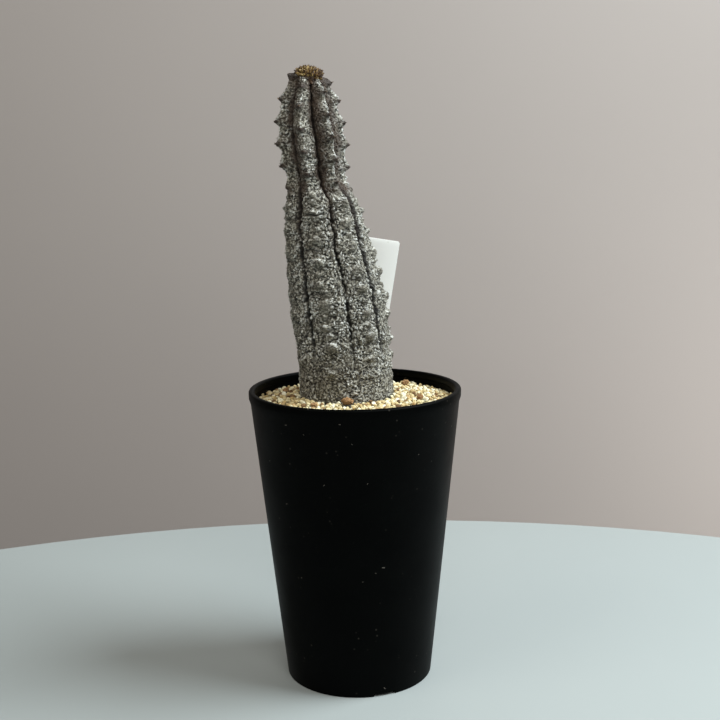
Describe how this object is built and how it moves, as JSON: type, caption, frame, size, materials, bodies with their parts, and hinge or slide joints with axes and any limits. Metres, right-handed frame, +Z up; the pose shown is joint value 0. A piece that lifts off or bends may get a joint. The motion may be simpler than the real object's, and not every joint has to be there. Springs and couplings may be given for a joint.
{
  "type": "potted euphorbia",
  "caption": "Potted columnar euphorbia: a ribbed, toothed grey stem with a leafy tip in a tall round nursery pot of gravel, with a blank plant label.",
  "frame": {"origin": "centre of the pot's foot, on the surface that the pot stands on", "axes": "+Z up, +X to the right and +Y to the back, seen from the side that the picture shows"},
  "size_m": [0.105, 0.105, 0.3033],
  "materials": {
    "pot_plastic": "moulded black, soft sheen",
    "potting_mix": "gritty and dry",
    "pale_gravel": "rough pumice",
    "tan_stone": "rough",
    "stem_skin": "waxy grey crust",
    "crown_leaf": "dry leaf",
    "label_plastic": "satin white"
  },
  "bodies": {
    "root": {"pot": "pot_plastic", "potting_mix": "potting_mix", "gravel": "pale_gravel", "tan_stone_1": "tan_stone", "tan_stone_2": "tan_stone", "tan_stone_3": "tan_stone", "tan_stone_4": "tan_stone", "tan_stone_5": "tan_stone", "stem": "stem_skin", "crown_leaves": "crown_leaf", "label": "label_plastic"}
  },
  "joints": []
}
